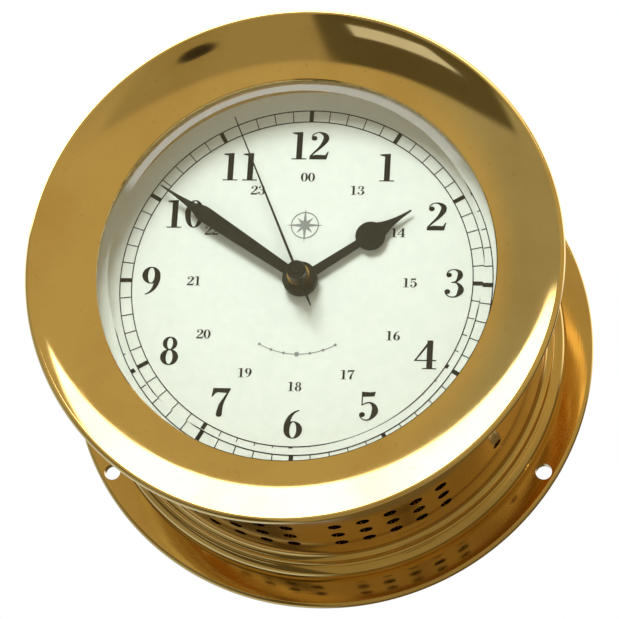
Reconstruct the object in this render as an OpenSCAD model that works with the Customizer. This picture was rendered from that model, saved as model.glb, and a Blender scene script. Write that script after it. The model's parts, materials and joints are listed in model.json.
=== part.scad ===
// Bulkhead ship's bell clock in polished brass.
// The dial faces -Y, twelve o'clock is +Z, and the flange's rear face lies on y = 0.
// Every module works in clock coordinates: x to the right, y up, z forward from the wall.

/* [Case] */
// Diameter of the screw flange
flange_d = 139.7; // [139:0.1:142]
// Thickness of the screw flange
flange_t = 2.4; // [2.2:0.1:2.6]
// Diameter of the circle through the flange holes
screw_circle_d = 132.6; // [131.6:0.1:133]
// Diameter of each flange hole
screw_hole_d = 4.3; // [4:0.1:4.6]
// Outer diameter of the drum
drum_d = 116; // [115.6:0.1:116.2]
// Length of the case from the wall to its front end
case_len = 54.3; // [53.8:0.1:54.4]

/* [Sound holes] */
// Diameter of each sound hole
vent_d = 3.5; // [2.8:0.1:4]
// Angle between neighbouring columns of sound holes
vent_pitch_deg = 7.15; // [6.6:0.05:7.3]
// Plain gap between the two groups of sound holes
vent_gap_deg = 12.2; // [10:0.1:14]
// Turn of the sound holes from six o'clock
vent_turn_deg = 2.5; // [0:0.5:4]

/* [Bezel and glass] */
// Outer diameter of the bezel rim
bezel_d = 135.1; // [134.5:0.1:135.5]
// Diameter of the opening over the glass
opening_d = 100.6; // [100:0.1:101]
// Radius of the hollow that the bezel's face is turned to
face_hollow_r = 46; // [44:0.5:50]

/* [Dial and hands] */
// Distance from the wall to the face of the dial
dial_z = 57.5; // [57.5:0.1:57.6]
// Radius of the inner minute ring
track_r = 43.4; // [42:0.1:44]
// Height of the hour numerals
numeral_h = 7.5; // [6:0.1:8]
// Height of the 24-hour numerals
small_numeral_h = 2.4; // [2:0.1:3]
// Angle of the hour hand at rest, clockwise from twelve
hour_angle = 55.3; // [0:0.1:359]
// Angle of the minute hand at rest, clockwise from twelve
minute_angle = 303.6; // [0:0.1:359]
// Angle of the seconds hand at rest, clockwise from twelve
second_angle = 336; // [0:1:359]

/* [Hidden] */

// Colours
brass = [0.80, 0.62, 0.28];
dark_brass = [0.66, 0.50, 0.22];
ink = [0.05, 0.05, 0.05];
steel = [0.72, 0.73, 0.75];
black_plastic = [0.10, 0.10, 0.11];
board_green = [0.08, 0.30, 0.16];

$fn = 64;
smooth = 180;

// Case
flange_r = flange_d / 2;
flange_round = 1.1;
drum_r = drum_d / 2;
bore_r = 56.3;
lip_r = 54.6;
bead_c = [drum_r + 2.1, 5];
bead_r = 2.7;
cove_r = 1.8;
small_cove_r = 0.8;
cove_z = 11.3;
screw_hole_angles = [0, 120, 240];
flange_turn = 1.1;
vent_z = 28.1;
vent_row_pitch = 7.1;
vent_columns = 5;
lock_angle = 124;
lock_z = 27.8;
lock_r = 1.45;
groove_y = 55;

// Bezel: a hollow face that leans in more towards its thin rolled rim
bezel_r = bezel_d / 2;
opening_r = opening_d / 2;
face_start_r = opening_r + 0.25;
face_z = 69.95;
rim_r = 1;
inner_tilt = 7;
outer_tilt = asin((bezel_r - rim_r - face_start_r + face_hollow_r * sin(inner_tilt))
    / (face_hollow_r + rim_r));
face_c = [face_start_r - face_hollow_r * sin(inner_tilt), face_z + face_hollow_r * cos(inner_tilt)];
rim_c = face_c + (face_hollow_r + rim_r) * [sin(outer_tilt), -cos(outer_tilt)];
collar_r = 60.2;
collar_z = case_len + 0.3;

// Liner, glass and dial stack
liner_r = 56;
liner_bore_r = 54.5;
liner_z0 = 16;
liner_z1 = 63.5;
ring_z = 50;
pocket_r = 53;
glass_back_z = 67.45;
glass_front_z = 69.8;
glass_land_z = 68.9;
glass_r = 52.8;
glass_flat_r = 47.3;
glass_land_r = 50.2;
fit_r = 54.4;
dial_t = 0.6;
print_t = 0.08;
carrier_t = 2.5;
dial_back_z = dial_z - dial_t;
carrier_z = dial_back_z - carrier_t;

// Hands, measured up from the face of the dial
boss_r = 4.4;
hour_h = 1.4;
minute_h = 2.6;
nut_top_h = 5.9;
second_h = 6.3;
cap_top_h = 9.55;
hand_t = 0.45;

// Movement
shell_half = 28;
shell_wall = 1.5;
shell_split_z = 47;
shell_rear_z = 38.8;
bushing_r = 3.9;
bushing_bore_r = 2.6;
hour_pipe_r = 2.5;
hour_pipe_bore_r = 1.75;
minute_pipe_r = 1.7;
minute_pipe_bore_r = 0.55;
second_arbor_r = 0.5;
pin_r = 0.3;
mesh_gap = 0.04;
third_at = [-6.77, -2.46];
fifth_at = [4.02, -3.37];
rotor_at = [7.33, -6.15];
motion_at = [0, 7];
wheel_t = 0.8;
coil_at = [-2.8, -20];

// Strike board and its controls
board_z = 30;
board_t = 1.6;
board_front_z = board_z + board_t;
board_half_w = 40;
board_top = -1;
board_bottom = -24;
board_post = [36, -4];
board_post_low = [36, -20];
back_z0 = 14;
back_z1 = 16;
wheel_at = [-30, -12];
wheel_axis_z = 20.6;
volume_r = 8.2;
slider_at = [0, -12];
slider_travel = 4;
button_at = [29, -12];
button_travel = 0.8;
plate_posts = [[48, 0], [-48, 0], [0, 50.6]];

// Speaker, which faces down towards the sound holes
speaker_y = -44;
speaker_z = 34.5;
speaker_r = 17.2;
speaker_bolt_r = 20.8;

// Battery holder and its door
cell_r = 7.1;
cell_len = 49.5;
cell_ys = [22, 37.2];
cell_z = 24.2;
holder_half_w = 28.5;
holder_y0 = 14.1;
holder_y1 = 45.1;
holder_z1 = 34;
hinge_at = [12.6, 11.9];
door_half_w = 28.2;
door_top = 45.3;

// Points along an arc, from angle a0 to angle a1
function arc(c, r, a0, a1, n = 12) =
    [for (i = [0:n]) let (a = a0 + (a1 - a0) * i / n) c + r * [cos(a), sin(a)]];
// Points along a curve with one control point
function bend(p, q, s, n = 12) =
    [for (i = [0:n]) let (t = i / n) (1 - t) * (1 - t) * p + 2 * t * (1 - t) * q + t * t * s];
// Points of an ellipse
function oval(c, a, b, n = 40) =
    [for (i = [0:n - 1]) c + [a * cos(360 * i / n), b * sin(360 * i / n)]];
// One point of a smooth curve through b and c
function through(a, b, c, d, t) =
    0.5 * (2 * b + (c - a) * t + (2 * a - 5 * b + 4 * c - d) * t * t
    + (3 * b - a - 3 * c + d) * t * t * t);
// Smooth points through a list, n steps between neighbours
function smooth_path(p, n) = let (last = len(p) - 1) [
    for (i = [0:last - 1], k = [0:n - 1])
        through(p[max(i - 1, 0)], p[i], p[i + 1], p[min(i + 2, last)], k / n),
    p[last]];
function heading(p, i) = let (
    d = p[min(i + 1, len(p) - 1)] - p[max(i - 1, 0)],
    m = norm([d[0], d[1]])) [d[0] / m, d[1] / m];
// Outline of a pen stroke: each point holds x, y and half the stroke's width
function stroke(p) = concat(
    [for (i = [0:len(p) - 1]) let (h = p[i][2] * heading(p, i)) [p[i][0] - h[1], p[i][1] + h[0]]],
    [for (i = [len(p) - 1:-1:0]) let (h = p[i][2] * heading(p, i)) [p[i][0] + h[1], p[i][1] - h[0]]]);

// Turns clock coordinates into the part's frame
module stand() {
    rotate([90, 0, 0]) children();
}
// Turns clockwise from twelve o'clock, as seen from the front
module clockwise(a) {
    rotate([0, 0, -a]) children();
}
// A tube along the clock's axis
module tube(r1, r0, z0, z1, f = smooth) {
    difference() {
        translate([0, 0, z0]) cylinder(r = r1, h = z1 - z0, $fn = f);
        translate([0, 0, z0 - 1]) cylinder(r = r0, h = z1 - z0 + 2, $fn = f);
    }
}
// A box given by its two corners
module box(a, b) {
    translate(a) cube(b - a);
}
// A flat spur wheel whose teeth stop just short of the pitch circle
module wheel(teeth, pitch_r, z, t) {
    tip = pitch_r - mesh_gap;
    root = tip - 3.6 * pitch_r / teeth;
    step = 360 / teeth;
    points = [for (i = [0:teeth - 1], k = [0:3])
        let (a = step * (i + [-0.32, -0.14, 0.14, 0.32][k]), r = [root, tip, tip, root][k])
            r * [cos(a), sin(a)]];
    translate([0, 0, z]) linear_extrude(t) polygon(points);
}
// A pan-head screw with a cross slot, head up, its seat at z = 0
module pan_screw(r, len_, head_r) {
    difference() {
        union() {
            translate([0, 0, -len_]) cylinder(r = r, h = len_, $fn = 24);
            cylinder(r = head_r, h = 0.6 * head_r, $fn = 32);
        }
        for (a = [0, 90])
            rotate([0, 0, a]) translate([-0.7 * head_r, -0.12 * head_r, 0.3 * head_r])
                cube([1.4 * head_r, 0.24 * head_r, head_r]);
    }
}
// A wire spring along z, from radius r0 at the bottom to r1 at the top
module wire_spring(r0, r1, height, turns, wire_r) {
    rings = 14 * turns;
    sides = 8;
    points = [for (i = [0:rings], k = [0:sides - 1]) let (
        a = 360 * turns * i / rings,
        r = r0 + (r1 - r0) * i / rings,
        b = 360 * k / sides)
        [(r + wire_r * cos(b)) * cos(a), (r + wire_r * cos(b)) * sin(a),
            wire_r + (height - 2 * wire_r) * i / rings + wire_r * sin(b)]];
    skin = [for (i = [0:rings - 1], k = [0:sides - 1]) let (n = (k + 1) % sides)
        [i * sides + k, (i + 1) * sides + k, (i + 1) * sides + n, i * sides + n]];
    ends = [[for (k = [0:sides - 1]) k], [for (k = [sides - 1:-1:0]) rings * sides + k]];
    polyhedron(points, concat(skin, ends), convexity = 8);
}

// ---- Case ----

module case_profile() {
    polygon(concat(
        [[lip_r, 0]],
        arc([flange_r - flange_round, flange_round], flange_round, -90, 0, 8),
        arc([flange_r - flange_round, flange_t - flange_round], flange_round, 0, 90, 8),
        arc(bead_c, bead_r, asin((flange_t - bead_c[1]) / bead_r), 80, 20),
        arc([drum_r + 2.6, cove_z - cove_r - 1], small_cove_r, -90, -180, 8),
        arc([drum_r + cove_r, cove_z], cove_r, -90, -180, 12),
        [[drum_r, case_len - 0.4], [drum_r - 0.4, case_len], [bore_r, case_len],
            [bore_r, flange_t], [lip_r, flange_t]]));
}
module case_body() {
    color(brass) stand() difference() {
        rotate_extrude($fn = smooth) case_profile();
        for (a = screw_hole_angles)
            clockwise(a - flange_turn) translate([0, screw_circle_d / 2, -1])
                cylinder(d = screw_hole_d, h = flange_t + 2, $fn = 48);
        for (side = [-1, 1], i = [0:vent_columns - 1], row = [-1:1])
            clockwise(180 - vent_turn_deg + side * (vent_gap_deg / 2 + i * vent_pitch_deg))
                translate([0, drum_r - 4, vent_z + row * vent_row_pitch])
                    rotate([-90, 0, 0]) cylinder(d = vent_d, h = 6, $fn = 32);
        for (i = [0:2])
            clockwise(lock_angle + 120 * i) translate([0, drum_r - 4, lock_z])
                rotate([-90, 0, 0]) cylinder(r = lock_r + 0.05, h = 6, $fn = 32);
    }
}
module case_screws() {
    color(dark_brass) stand() for (i = [0:2])
        clockwise(lock_angle + 120 * i) translate([0, groove_y + 0.05, lock_z]) rotate([-90, 0, 0])
            difference() {
                cylinder(r = lock_r, h = 1.7, $fn = 32);
                translate([0, 0, 0.7]) cylinder(r = 0.85, h = 2, $fn = 6);
            }
}

// ---- Bezel, glass and dial ----

module bezel_profile() {
    polygon(concat(
        [[opening_r, glass_land_z], [opening_r, face_z - 0.25]],
        arc(face_c, face_hollow_r, inner_tilt - 90, outer_tilt - 90, 24),
        arc(rim_c, rim_r, 88 + outer_tilt, -60, 24),
        bend(rim_c + [0.4, -1.1], [collar_r + 1, rim_c[1] - 3.1], [collar_r, 63], 14),
        [[collar_r, collar_z + 0.4], [collar_r - 0.4, collar_z], [liner_r, collar_z],
            [liner_r, liner_z1], [pocket_r, liner_z1], [pocket_r, glass_land_z]]));
}
module bezel_ring() {
    color(brass) stand() rotate_extrude($fn = smooth) bezel_profile();
}
module liner() {
    color(dark_brass) stand() difference() {
        tube(liner_r, liner_bore_r, liner_z0, liner_z1);
        tube(liner_r + 1, liner_r - 1, ring_z - 0.7, ring_z + 0.7);
        box([-38, -60, 18.2], [38, -30, 46]);
        for (i = [0:2])
            clockwise(lock_angle + 120 * i) union() {
                box([-1.8, groove_y, liner_z0 - 1], [1.8, 60, lock_z]);
                translate([0, groove_y, lock_z]) rotate([-90, 0, 0]) cylinder(r = 1.8, h = 10, $fn = 32);
            }
    }
}
module liner_o_ring() {
    color(black_plastic) stand() translate([0, 0, ring_z])
        rotate_extrude($fn = smooth) translate([55.65, 0]) circle(r = 0.6, $fn = 24);
}
module crystal() {
    color([0.85, 0.92, 0.92, 0.4]) stand() rotate_extrude($fn = smooth)
        polygon([[0, glass_back_z], [glass_r, glass_back_z], [glass_r, glass_land_z],
            [glass_land_r, glass_land_z], [glass_flat_r, glass_front_z], [0, glass_front_z]]);
}
module crystal_gasket() {
    color(black_plastic) stand() tube(52.9, 51.1, glass_back_z - 0.6, glass_back_z);
}
module crystal_retainer() {
    color(dark_brass) stand() difference() {
        tube(pocket_r, 51.1, glass_back_z - 2.6, glass_back_z - 0.6);
        for (a = [0, 90])
            rotate([0, 0, a]) box([-56, -1.2, glass_back_z - 3], [56, 1.2, glass_back_z - 1.8]);
    }
}
module dial_ring() {
    color(brass) stand() rotate_extrude($fn = smooth)
        polygon([[51.6, dial_z], [fit_r, dial_z], [fit_r, liner_z1], [51.4, liner_z1]]);
}
module dial() {
    color([0.96, 0.97, 0.95]) stand() tube(fit_r, bushing_r + 0.05, dial_back_z, dial_z);
}
module print_on_dial() {
    stand() translate([0, 0, dial_z]) linear_extrude(print_t) children();
}
module minute_track() {
    line_w = 0.26;
    ring_gap = 3.02;
    color(ink) print_on_dial() {
        for (r = [track_r, track_r + ring_gap])
            difference() {
                circle(r = r + line_w / 2, $fn = smooth);
                circle(r = r - line_w / 2, $fn = smooth);
            }
        for (i = [0:59])
            let (w = i % 5 == 0 ? 1.05 : 0.22)
                rotate([0, 0, 6 * i]) translate([track_r, -w / 2]) square([ring_gap, w]);
    }
}

// Digits one unit high, centred on the origin
module pen(p, n) {
    polygon(stroke(smooth_path(p, n)));
}
module bowl(c, a, b, inner_a, inner_b, n) {
    difference() {
        polygon(oval(c, a, b, 8 * n));
        polygon(oval(c, inner_a, inner_b, 8 * n));
    }
}
module dot(x, y, r, n) {
    polygon(oval([x, y], r, r, 4 * n));
}
module one() {
    translate([-0.085, -0.48]) square([0.17, 0.96]);
    translate([-0.22, -0.5]) square([0.44, 0.035]);
    polygon([[-0.085, 0.49], [0.085, 0.5], [0.085, 0.4], [-0.085, 0.4], [-0.23, 0.445], [-0.23, 0.475]]);
}
module two(n) {
    dot(-0.16, 0.27, 0.085, n);
    pen([[-0.235, 0.27, 0.012], [-0.19, 0.41, 0.018], [-0.02, 0.483, 0.018], [0.165, 0.38, 0.07],
        [0.185, 0.21, 0.085], [0.05, -0.03, 0.05], [-0.14, -0.25, 0.03], [-0.26, -0.4, 0.025]], n);
    polygon([[-0.28, -0.5], [0.23, -0.5], [0.29, -0.22], [0.262, -0.22], [0.19, -0.35], [-0.08, -0.335],
        [-0.24, -0.37], [-0.28, -0.43]]);
}
module three(n) {
    dot(-0.15, 0.29, 0.08, n);
    pen([[-0.222, 0.3, 0.012], [-0.16, 0.43, 0.018], [0.0, 0.484, 0.018], [0.15, 0.4, 0.06],
        [0.17, 0.25, 0.078], [0.07, 0.07, 0.03], [-0.07, 0.03, 0.017]], n);
    pen([[-0.07, 0.04, 0.017], [0.08, 0.01, 0.025], [0.195, -0.13, 0.07], [0.2, -0.29, 0.088],
        [0.08, -0.46, 0.03], [-0.09, -0.48, 0.018], [-0.22, -0.38, 0.016], [-0.255, -0.28, 0.012]], n);
    dot(-0.18, -0.3, 0.085, n);
}
module four() {
    translate([0.04, -0.48]) square([0.17, 0.98]);
    translate([-0.08, -0.5]) square([0.41, 0.035]);
    translate([-0.32, -0.22]) square([0.64, 0.04]);
    polygon([[0.1, 0.5], [0.15, 0.44], [-0.27, -0.2], [-0.32, -0.2]]);
}
module five(n) {
    polygon([[-0.2, 0.5], [-0.16, 0.49], [0.05, 0.475], [0.2, 0.5], [0.17, 0.34], [-0.165, 0.32],
        [-0.165, 0.02], [-0.2, 0.02]]);
    pen([[-0.185, 0.03, 0.015], [-0.07, 0.1, 0.02], [0.06, 0.11, 0.03], [0.18, -0.02, 0.075],
        [0.19, -0.24, 0.09], [0.06, -0.455, 0.03], [-0.1, -0.48, 0.018], [-0.21, -0.39, 0.016],
        [-0.24, -0.29, 0.012]], n);
    dot(-0.165, -0.3, 0.085, n);
}
module six(n) {
    bowl([0.01, -0.2], 0.27, 0.3, 0.1, 0.268, n);
    pen([[-0.172, -0.25, 0.085], [-0.17, -0.02, 0.085], [-0.1, 0.24, 0.06], [0.03, 0.41, 0.03],
        [0.17, 0.485, 0.014]], n);
}
module seven(n) {
    polygon([[-0.24, 0.5], [0.27, 0.5], [0.27, 0.44], [0.2, 0.33], [-0.1, 0.36], [-0.17, 0.32],
        [-0.25, 0.2], [-0.28, 0.2]]);
    pen([[0.25, 0.46, 0.02], [0.12, 0.18, 0.035], [0.01, -0.1, 0.065], [-0.03, -0.41, 0.09]], n);
    dot(-0.032, -0.41, 0.09, n);
}
module eight(n) {
    bowl([0, 0.265], 0.215, 0.235, 0.085, 0.2, n);
    bowl([0, -0.22], 0.265, 0.28, 0.1, 0.245, n);
}
module zero(n) {
    bowl([0, 0], 0.285, 0.5, 0.115, 0.465, n);
}
module digit(d, n) {
    if (d == 0) zero(n);
    if (d == 1) one();
    if (d == 2) two(n);
    if (d == 3) three(n);
    if (d == 4) four();
    if (d == 5) five(n);
    if (d == 6) six(n);
    if (d == 7) seven(n);
    if (d == 8) eight(n);
    if (d == 9) rotate([0, 0, 180]) six(n);
}
// A number in digits this tall and stretched sideways, with two digits always drawn when pair is true
module number(value, height, stretch, n, pair = false) {
    advance = 0.59;
    tens = floor(value / 10);
    scale([stretch * height, height]) {
        if (tens > 0 || pair) {
            translate([-advance / 2, 0]) digit(tens, n);
            translate([advance / 2, 0]) digit(value % 10, n);
        } else {
            digit(value, n);
        }
    }
}
// Centre of a numeral whose farthest corner lies on a circle, half its size given as a and b
function numeral_at(angle, a, b, corner_r) = let (
    s = sin(angle),
    c = cos(angle),
    reach = a * abs(s) + b * abs(c),
    r = sqrt(reach * reach - a * a - b * b + corner_r * corner_r) - reach)
    [r * s, r * c];
module hour_numerals() {
    corner_r = 41.2;
    stretch = 1.15;
    nudge = [0, 2.8, 1.7, 0, 0.3, 0, 0.2, 0.2, 0.4, 0, 0.5, 0.7];
    slip = [[-0.1, -0.4], [0.2, -0.1], [0.4, 0], [-0.4, 0], [0, 0], [0.3, -0.5],
        [0.3, -0.1], [0.2, -0.2], [0.3, -0.2], [0.6, -0.1], [-0.1, -0.2], [0.1, -0.4]];
    color(ink) print_on_dial() for (h = [1:12])
        let (half_w = (h > 9 ? 0.51 : 0.27) * numeral_h)
        translate(numeral_at(30 * h + nudge[h % 12], half_w, numeral_h / 2, corner_r) + slip[h % 12])
            number(h, numeral_h, stretch, 6);
}
module day_numerals() {
    ring_r = 27.7;
    stretch = 1.3;
    nudge = [0, -2.6, 0, 0, 0, 1.8, 0, -2, 0, 0, 0, 2.8];
    slip = [[0, 0.55], [0.1, 0.1], [-0.2, -0.5], [-0.2, 0], [0, -0.2], [0, 0],
        [0, 0], [0.2, 0.2], [0, -0.3], [0.3, 0], [0.2, -0.2], [0, 0]];
    color(ink) print_on_dial() for (h = [1:12])
        let (a = 30 * h + nudge[h % 12])
            translate(ring_r * [sin(a), cos(a)] + slip[h % 12])
                number(h == 12 ? 0 : h + 12, small_numeral_h, stretch, 3, true);
}
// Plain compass star above the centre, and a plain arc with beads below it
module dial_ornament() {
    star = [0, 15.2];
    star_r = 4.6;
    arc_r = 19.2;
    arc_deg = 30;
    color([0.32, 0.33, 0.33]) print_on_dial() {
        translate(star) polygon([for (i = [0:15])
            let (r = i % 4 == 0 ? star_r : i % 2 == 0 ? 0.62 * star_r : 0.24 * star_r)
                r * [sin(22.5 * i), cos(22.5 * i)]]);
        translate(star) difference() {
            circle(r = 0.78 * star_r, $fn = 48);
            circle(r = 0.72 * star_r, $fn = 48);
        }
        polygon(concat(arc([0, 0], arc_r - 0.09, -90 - arc_deg, -90 + arc_deg, 30),
            arc([0, 0], arc_r + 0.09, -90 + arc_deg, -90 - arc_deg, 30)));
        for (i = [-3:3])
            rotate([0, 0, i * 10]) translate([0, -arc_r]) circle(r = i == 0 ? 0.62 : 0.36, $fn = 24);
    }
}

// ---- Hands ----

module hour_outline() {
    spade_at = 20.8;
    spade_r = 3.8;
    tip = 33;
    polygon(concat(
        [[-1.25, 0], [-1.0, spade_at - spade_r + 0.1]],
        arc([0, spade_at], spade_r, 252, 125, 14),
        bend([spade_r * cos(125), spade_at + spade_r * sin(125)], [-0.55, 26.6], [-0.16, tip], 10),
        bend([0.16, tip], [0.55, 26.6], [spade_r * cos(55), spade_at + spade_r * sin(55)], 10),
        arc([0, spade_at], spade_r, 55, -72, 14),
        [[1.0, spade_at - spade_r + 0.1], [1.25, 0]]));
}
module minute_outline() {
    shoulder = 30.5;
    half_w = 2.05;
    tip = 44.7;
    polygon(concat(
        [[-1.2, 0], [-half_w, shoulder - 0.6]],
        bend([-half_w, shoulder - 0.6], [-half_w - 0.05, shoulder + 1.4], [-1.5, shoulder + 2.4], 8),
        bend([-1.5, shoulder + 2.4], [-0.5, shoulder + 5], [-0.14, tip], 10),
        bend([0.14, tip], [0.5, shoulder + 5], [1.5, shoulder + 2.4], 10),
        bend([1.5, shoulder + 2.4], [half_w + 0.05, shoulder + 1.4], [half_w, shoulder - 0.6], 8),
        [[half_w, shoulder - 0.6], [1.2, 0]]));
}
module hour_hand() {
    z = dial_z + hour_h;
    color(ink) stand() clockwise(hour_angle) difference() {
        union() {
            translate([0, 0, z]) linear_extrude(hand_t) hour_outline();
            translate([0, 0, z]) cylinder(r = boss_r, h = hand_t, $fn = smooth);
            translate([0, 0, z - 0.5]) cylinder(r = 3.3, h = 0.6, $fn = smooth);
        }
        translate([0, 0, z - 2]) cylinder(r = hour_pipe_r, h = 4, $fn = smooth);
    }
}
module minute_hand() {
    z = dial_z + minute_h;
    color(ink) stand() clockwise(minute_angle) difference() {
        union() {
            translate([0, 0, z]) linear_extrude(hand_t) minute_outline();
            translate([0, 0, z]) cylinder(r = boss_r, h = hand_t, $fn = smooth);
        }
        translate([0, 0, z - 2]) cylinder(r = minute_pipe_r, h = 4, $fn = smooth);
    }
}
module second_hand() {
    z = dial_z + second_h;
    cap_r = 2.45;
    cap_h = cap_top_h - second_h;
    color(ink) stand() clockwise(second_angle) difference() {
        union() {
            translate([0, 0, z + 0.2]) linear_extrude(0.3) polygon([[-0.36, 0], [-0.13, 46],
                [0.13, 46], [0.36, 0], [0.72, -2], [0.14, -9.4], [-0.14, -9.4], [-0.72, -2]]);
            translate([0, 0, z]) rotate_extrude($fn = smooth) polygon(concat([[0, 0], [cap_r, 0]],
                arc([cap_r - 0.35, cap_h - 0.35], 0.35, 0, 90, 6),
                [[1.75, cap_h], [1.65, cap_h - 0.15], [1.35, cap_h - 0.15], [1.25, cap_h], [0.75, cap_h],
                    [0.6, cap_h - 0.15], [0, cap_h - 0.15]]));
        }
        translate([0, 0, z - 1]) cylinder(r = second_arbor_r, h = 3, $fn = 32);
    }
}
module hand_nut() {
    z = dial_z + minute_h + hand_t;
    nut_r = 2.95;
    knurls = 30;
    color(brass) stand() difference() {
        translate([0, 0, z]) union() {
            linear_extrude(dial_z + nut_top_h - z) polygon([for (i = [0:2 * knurls - 1])
                (i % 2 == 0 ? nut_r : nut_r - 0.22) * [cos(180 * i / knurls), sin(180 * i / knurls)]]);
        }
        translate([0, 0, z - 1]) cylinder(r = minute_pipe_r, h = 8, $fn = smooth);
    }
}

// ---- Movement ----

module carrier_plate() {
    color(black_plastic) stand() difference() {
        union() {
            translate([0, 0, carrier_z]) cylinder(r = fit_r, h = carrier_t, $fn = smooth);
            for (x = [-1, 1], p = [board_post, board_post_low])
                translate([x * p[0], p[1], board_front_z])
                    cylinder(r = 2.8, h = carrier_z - board_front_z + 0.1, $fn = 32);
            for (p = plate_posts)
                translate([p[0], p[1], back_z1]) cylinder(r = 2.6, h = carrier_z - back_z1 + 0.1, $fn = 32);
        }
        translate([0, 0, carrier_z - 1]) cylinder(r = bushing_r + 0.1, h = 5, $fn = smooth);
        translate([0, 0, dial_back_z - 1.7]) cylinder(r = 7.3, h = 3, $fn = 6);
        for (x = [-1, 1], p = [board_post, board_post_low])
            translate([x * p[0], p[1], board_z]) cylinder(r = 1, h = 8, $fn = 24);
        for (p = plate_posts)
            translate([p[0], p[1], back_z1 - 1]) cylinder(r = 1, h = 9, $fn = 24);
    }
}
module shell_block(z0, z1) {
    corner = 3;
    r = shell_half - corner;
    translate([0, 0, z0]) linear_extrude(z1 - z0) polygon(concat(
        arc([r, r], corner, 0, 90, 6), arc([-r, r], corner, 90, 180, 6),
        arc([-r, -r], corner, 180, 270, 6), arc([r, -r], corner, 270, 360, 6)));
}
module shell_hollow(z0, z1) {
    r = shell_half - shell_wall;
    box([-r, -r, z0], [r, r, z1]);
}
module movement_front() {
    color(black_plastic) stand() difference() {
        shell_block(shell_split_z, carrier_z);
        shell_hollow(shell_split_z - 1, carrier_z - shell_wall);
        translate([0, 0, carrier_z - 4]) cylinder(r = bushing_r, h = 6, $fn = smooth);
    }
}
module movement_rear() {
    ribs = 5;
    color(black_plastic) stand() difference() {
        union() {
            shell_block(shell_rear_z, shell_split_z);
            for (i = [0:ribs - 1])
                box([-22, -22 + 2.6 * i, shell_rear_z - 0.5], [22, -20.8 + 2.6 * i, shell_rear_z + 0.1]);
        }
        shell_hollow(shell_rear_z + shell_wall, shell_split_z + 1);
        translate([motion_at[0], motion_at[1], shell_rear_z - 1]) cylinder(r = 2.4, h = 4, $fn = 48);
    }
}
module movement_bushing() {
    color(brass) stand() union() {
        tube(bushing_r, bushing_bore_r, carrier_z - shell_wall, dial_z + 0.05);
        tube(5.2, bushing_bore_r, carrier_z - shell_wall - 0.5, carrier_z - shell_wall);
    }
}
module bushing_nut() {
    color(brass) stand() difference() {
        translate([0, 0, dial_back_z - 1.7]) cylinder(r = 6.8, h = 1.6, $fn = 6);
        translate([0, 0, dial_back_z - 2]) cylinder(r = bushing_r, h = 3, $fn = smooth);
    }
}
module hour_wheel() {
    color(brass) stand() clockwise(hour_angle) difference() {
        union() {
            wheel(40, 5.6, 51.6, wheel_t - 0.1);
            translate([0, 0, 51.2])
                cylinder(r = hour_pipe_r, h = dial_z + hour_h + hand_t - 51.2, $fn = smooth);
        }
        translate([0, 0, 50]) cylinder(r = hour_pipe_bore_r, h = 12, $fn = smooth);
    }
}
module centre_wheel() {
    color(brass) stand() clockwise(minute_angle) difference() {
        union() {
            wheel(60, 6.353, 45.8, wheel_t);
            wheel(12, 1.75, 49.4, 1.4);
            translate([0, 0, 45.4]) cylinder(r = minute_pipe_r, h = 4.1, $fn = smooth);
            translate([0, 0, 50.7])
                cylinder(r = minute_pipe_r, h = dial_z + nut_top_h - 50.9, $fn = smooth);
        }
        translate([0, 0, 44]) cylinder(r = minute_pipe_bore_r, h = 22, $fn = 48);
    }
}
module seconds_wheel() {
    color(brass) stand() clockwise(second_angle) union() {
        wheel(60, 4.5, 41.4, 0.6);
        wheel(8, 0.8, 43, 1.2);
        translate([0, 0, 40.5]) cylinder(r = second_arbor_r, h = dial_z + second_h + 2 - 40.5, $fn = 32);
    }
}
module third_wheel() {
    color(brass) stand() translate([third_at[0], third_at[1], 0]) union() {
        wheel(64, 6.4, 43.2, 0.7);
        wheel(8, 0.847, 45.6, 1.2);
        translate([0, 0, 40.5]) cylinder(r = pin_r, h = 8, $fn = 24);
    }
}
module motion_wheel() {
    color([0.9, 0.88, 0.8]) stand() translate([motion_at[0], motion_at[1], 0]) union() {
        wheel(36, 5.25, 49.6, wheel_t);
        wheel(10, 1.4, 51.5, 1.0);
        translate([0, 0, shell_rear_z]) cylinder(r = 0.5, h = 52.5 - shell_rear_z, $fn = 32);
    }
}
module fifth_wheel() {
    color([0.9, 0.88, 0.8]) stand() translate([fifth_at[0], fifth_at[1], 0]) union() {
        wheel(10, 0.75, 41.2, 1.0);
        wheel(60, 3.6, 44.5, 0.5);
        translate([0, 0, 40.5]) cylinder(r = pin_r, h = 4.9, $fn = 24);
    }
}
module rotor() {
    color(steel) stand() translate([rotor_at[0], rotor_at[1], 0]) union() {
        wheel(12, 0.72, 44.3, 0.9);
        translate([0, 0, 46.3]) cylinder(r = 2.6, h = 2.4, $fn = 48);
        translate([0, 0, 43.6]) cylinder(r = pin_r, h = 8.2, $fn = 24);
    }
}
module stator() {
    color(steel) stand() difference() {
        union() {
            box([3.2, -24, 46.9], [12.5, -2, 48.1]);
            box([-16, -24, 46.9], [-9.4, -16, 48.1]);
            box([-16, -21, 46.9], [12.5, -19, 48.1]);
        }
        translate([rotor_at[0], rotor_at[1], 46]) cylinder(r = 3.1, h = 3, $fn = 48);
    }
}
module along_x(at, z) {
    translate([at[0], at[1], z]) rotate([0, 90, 0]) children();
}
module coil_bobbin() {
    color([0.92, 0.92, 0.88]) stand() difference() {
        along_x(coil_at, 47.5) union() {
            translate([0, 0, -5.8]) cylinder(r = 1.9, h = 11.6, $fn = 48);
            for (z = [-5.8, 5])
                translate([0, 0, z]) cylinder(r = 4, h = 0.8, $fn = 48);
        }
        box([-10, -21, 46.9], [5, -19, 48.1]);
    }
}
module coil_winding() {
    color([0.72, 0.36, 0.16]) stand() along_x(coil_at, 47.5) tube(3.5, 1.9, -5, 5, 48);
}
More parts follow.
